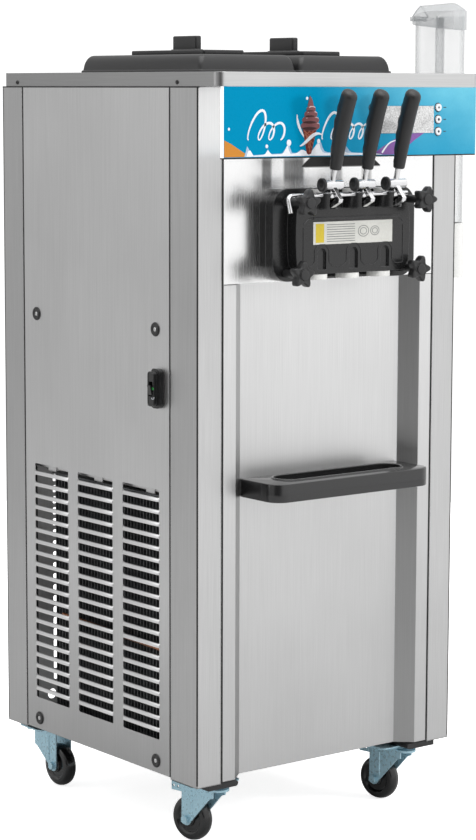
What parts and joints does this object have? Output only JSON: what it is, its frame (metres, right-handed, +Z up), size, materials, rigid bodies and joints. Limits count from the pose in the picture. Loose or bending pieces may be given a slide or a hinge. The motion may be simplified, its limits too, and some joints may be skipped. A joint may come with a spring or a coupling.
{
  "type": "soft serve machine",
  "caption": "Floor-standing soft serve machine: folded steel cabinet, lidded hoppers, dispensing head with levers, drip tray, cone dispenser and swivel castors.",
  "frame": {"origin": "on the floor under the middle of the cabinet", "axes": "+X to the right seen from the front, -Y to the front, +Z up"},
  "size_m": [0.6223, 0.7074, 1.376],
  "materials": {
    "frame_black": "semi-gloss black paint",
    "stainless_side": "vertical brushed grain",
    "stainless_front": "vertical brushed grain",
    "stainless_polished": "polished, blurred reflections",
    "screw_black": "black washer and head",
    "fascia_print": "printed cyan graphic, satin",
    "display_glass": "silver-grey display window",
    "button_white": null,
    "breaker_black": "gloss black",
    "rocker_black": "black with green dot",
    "stainless_tub": "satin",
    "lid_black": "fine-grained black",
    "cylinder_steel": "satin",
    "beater_steel": "polished",
    "motor_grey": "hammered grey paint",
    "compressor_black": "semi-gloss black paint",
    "fin_aluminium": "thin fins",
    "fan_plastic": "black",
    "head_black": "gloss black moulding",
    "seal_rubber": "food-grade rubber",
    "stud_steel": "threaded stainless",
    "knob_black": "moulded black",
    "lever_chrome": "polished",
    "grip_black": "soft satin black",
    "plunger_white": "food-grade white",
    "tray_black": "gloss black",
    "holder_white": "milky white",
    "clear_tube": "clear polycarbonate",
    "castor_zinc": "blue zinc plate",
    "wheel_black": "moulded black rubber"
  },
  "bodies": {
    "cabinet": {"base_frame": "frame_black", "corner_posts": "stainless_front", "left_side_panel": "stainless_side", "right_side_panel": "stainless_side", "rear_panel": "stainless_side", "lower_front_panel": "stainless_front", "head_panel": "stainless_polished", "panel_screws": "screw_black", "top_cap": "stainless_front", "fascia": "fascia_print", "display_module": "display_glass", "breaker_housing": "breaker_black", "hoppers": "stainless_tub", "freezing_cylinders": "cylinder_steel", "gear_motor": "motor_grey", "compressor": "compressor_black", "condenser": "fin_aluminium", "head_flange": "head_black", "head_body": "head_black", "head_seals": "seal_rubber", "head_studs": "stud_steel", "nozzles": "plunger_white", "cone_holder": "holder_white", "cone_tubes": "clear_tube", "castor_plates": "castor_zinc"},
    "plus_button": {"plus_button": "button_white"},
    "minus_button": {"minus_button": "button_white"},
    "stop_button": {"stop_button": "button_white"},
    "breaker_rocker": {"breaker_rocker": "rocker_black"},
    "left_lid": {"left_lid": "lid_black"},
    "right_lid": {"right_lid": "lid_black"},
    "left_lid_cover": {"left_lid_cover": "lid_black"},
    "right_lid_cover": {"right_lid_cover": "lid_black"},
    "left_beater": {"left_beater": "beater_steel"},
    "right_beater": {"right_beater": "beater_steel"},
    "fan_blades": {"fan_blades": "fan_plastic"},
    "upper_left_star_knob": {"upper_left_star_knob": "knob_black"},
    "upper_right_star_knob": {"upper_right_star_knob": "knob_black"},
    "lower_left_star_knob": {"lower_left_star_knob": "knob_black"},
    "lower_right_star_knob": {"lower_right_star_knob": "knob_black"},
    "pivot_pin": {"pivot_pin": "lever_chrome"},
    "left_handle": {"left_lever": "lever_chrome", "left_grip": "grip_black"},
    "left_plunger": {"left_plunger": "plunger_white"},
    "centre_handle": {"centre_lever": "lever_chrome", "centre_grip": "grip_black"},
    "centre_plunger": {"centre_plunger": "plunger_white"},
    "right_handle": {"right_lever": "lever_chrome", "right_grip": "grip_black"},
    "right_plunger": {"right_plunger": "plunger_white"},
    "drip_tray": {"drip_tray": "tray_black"},
    "cone_lid": {"cone_lid": "clear_tube"},
    "front_left_fork": {"front_left_fork": "castor_zinc"},
    "front_left_wheel": {"front_left_wheel": "wheel_black"},
    "front_right_fork": {"front_right_fork": "castor_zinc"},
    "front_right_wheel": {"front_right_wheel": "wheel_black"},
    "rear_left_fork": {"rear_left_fork": "castor_zinc"},
    "rear_left_wheel": {"rear_left_wheel": "wheel_black"},
    "rear_right_fork": {"rear_right_fork": "castor_zinc"},
    "rear_right_wheel": {"rear_right_wheel": "wheel_black"}
  },
  "joints": [
    {"name": "plus_button_press", "type": "slide", "parent": "cabinet", "child": "plus_button", "axis": [0, 1, 0], "range_m": [0, 0.0015], "stiffness_N_per_m": 400},
    {"name": "minus_button_press", "type": "slide", "parent": "cabinet", "child": "minus_button", "axis": [0, 1, 0], "range_m": [0, 0.0015], "stiffness_N_per_m": 400},
    {"name": "stop_button_press", "type": "slide", "parent": "cabinet", "child": "stop_button", "axis": [0, 1, 0], "range_m": [0, 0.0015], "stiffness_N_per_m": 400},
    {"name": "breaker_rocker_tilt", "type": "hinge", "parent": "cabinet", "child": "breaker_rocker", "pos_m": [-0.282, -0.179, 0.754], "axis": [0, 1, 0], "range_deg": [0, 24]},
    {"name": "left_lid_lift", "type": "slide", "parent": "cabinet", "child": "left_lid", "axis": [0, 0, 1], "range_m": [0, 0.08]},
    {"name": "left_lid_cover_lift", "type": "slide", "parent": "left_lid", "child": "left_lid_cover", "axis": [0, 0, 1], "range_m": [0, 0.06]},
    {"name": "right_lid_lift", "type": "slide", "parent": "cabinet", "child": "right_lid", "axis": [0, 0, 1], "range_m": [0, 0.08]},
    {"name": "right_lid_cover_lift", "type": "slide", "parent": "right_lid", "child": "right_lid_cover", "axis": [0, 0, 1], "range_m": [0, 0.06]},
    {"name": "left_beater_spin", "type": "hinge", "parent": "cabinet", "child": "left_beater", "pos_m": [-0.066, -0.12, 1], "axis": [0, 1, 0], "continuous": true},
    {"name": "right_beater_spin", "type": "hinge", "parent": "cabinet", "child": "right_beater", "pos_m": [0.066, -0.12, 1], "axis": [0, 1, 0], "continuous": true},
    {"name": "fan_spin", "type": "hinge", "parent": "cabinet", "child": "fan_blades", "pos_m": [-0.184, 0, 0.36], "axis": [1, 0, 0], "continuous": true},
    {"name": "upper_left_star_knob_turn", "type": "hinge", "parent": "cabinet", "child": "upper_left_star_knob", "pos_m": [-0.122, -0.345, 1.053], "axis": [0, 1, 0], "continuous": true},
    {"name": "upper_right_star_knob_turn", "type": "hinge", "parent": "cabinet", "child": "upper_right_star_knob", "pos_m": [0.122, -0.345, 1.053], "axis": [0, 1, 0], "continuous": true},
    {"name": "lower_left_star_knob_turn", "type": "hinge", "parent": "cabinet", "child": "lower_left_star_knob", "pos_m": [-0.122, -0.345, 0.94], "axis": [0, 1, 0], "continuous": true},
    {"name": "lower_right_star_knob_turn", "type": "hinge", "parent": "cabinet", "child": "lower_right_star_knob", "pos_m": [0.122, -0.345, 0.94], "axis": [0, 1, 0], "continuous": true},
    {"name": "pivot_pin_pull", "type": "slide", "parent": "cabinet", "child": "pivot_pin", "axis": [-1, 0, 0], "range_m": [0, 0.25]},
    {"name": "left_handle_pull", "type": "hinge", "parent": "cabinet", "child": "left_handle", "pos_m": [-0.066, -0.356, 1.064], "axis": [1, 0, 0], "range_deg": [0, 45]},
    {"name": "left_plunger_lift", "type": "slide", "parent": "cabinet", "child": "left_plunger", "axis": [0, 0, 1], "range_m": [0, 0.024]},
    {"name": "centre_handle_pull", "type": "hinge", "parent": "cabinet", "child": "centre_handle", "pos_m": [0, -0.356, 1.064], "axis": [1, 0, 0], "range_deg": [0, 45]},
    {"name": "centre_plunger_lift", "type": "slide", "parent": "cabinet", "child": "centre_plunger", "axis": [0, 0, 1], "range_m": [0, 0.024]},
    {"name": "right_handle_pull", "type": "hinge", "parent": "cabinet", "child": "right_handle", "pos_m": [0.066, -0.356, 1.064], "axis": [1, 0, 0], "range_deg": [0, 45]},
    {"name": "right_plunger_lift", "type": "slide", "parent": "cabinet", "child": "right_plunger", "axis": [0, 0, 1], "range_m": [0, 0.024]},
    {"name": "drip_tray_lift", "type": "slide", "parent": "cabinet", "child": "drip_tray", "axis": [0, 0, 1], "range_m": [0, 0.03]},
    {"name": "cone_lid_open", "type": "hinge", "parent": "cabinet", "child": "cone_lid", "pos_m": [0.303, -0.143, 1.348], "axis": [-1, 0, 0], "range_deg": [0, 100]},
    {"name": "front_left_castor_swivel", "type": "hinge", "parent": "cabinet", "child": "front_left_fork", "pos_m": [-0.203, -0.214, 0.09], "axis": [0, 0, 1], "continuous": true},
    {"name": "front_left_wheel_roll", "type": "hinge", "parent": "front_left_fork", "child": "front_left_wheel", "pos_m": [-0.20882, -0.18661, 0.0375], "axis": [0.9781, 0.2079, 0], "continuous": true},
    {"name": "front_right_castor_swivel", "type": "hinge", "parent": "cabinet", "child": "front_right_fork", "pos_m": [0.203, -0.214, 0.09], "axis": [0, 0, 1], "continuous": true},
    {"name": "front_right_wheel_roll", "type": "hinge", "parent": "front_right_fork", "child": "front_right_wheel", "pos_m": [0.19766, -0.18651, 0.0375], "axis": [0.9816, 0.1908, 0], "continuous": true},
    {"name": "rear_left_castor_swivel", "type": "hinge", "parent": "cabinet", "child": "rear_left_fork", "pos_m": [-0.203, 0.245, 0.09], "axis": [0, 0, 1], "continuous": true},
    {"name": "rear_left_wheel_roll", "type": "hinge", "parent": "rear_left_fork", "child": "rear_left_wheel", "pos_m": [-0.203, 0.217, 0.0375], "axis": [-1, 0, 0], "continuous": true},
    {"name": "rear_right_castor_swivel", "type": "hinge", "parent": "cabinet", "child": "rear_right_fork", "pos_m": [0.203, 0.245, 0.09], "axis": [0, 0, 1], "continuous": true},
    {"name": "rear_right_wheel_roll", "type": "hinge", "parent": "rear_right_fork", "child": "rear_right_wheel", "pos_m": [0.203, 0.217, 0.0375], "axis": [-1, 0, 0], "continuous": true}
  ],
  "couplings": [
    {"joint": "left_plunger_lift", "follows": "left_handle_pull", "m_per_rad": 0.030557},
    {"joint": "centre_plunger_lift", "follows": "centre_handle_pull", "m_per_rad": 0.030557},
    {"joint": "right_plunger_lift", "follows": "right_handle_pull", "m_per_rad": 0.030557},
    {"joint": "right_beater_spin", "follows": "left_beater_spin", "ratio": -1}
  ]
}
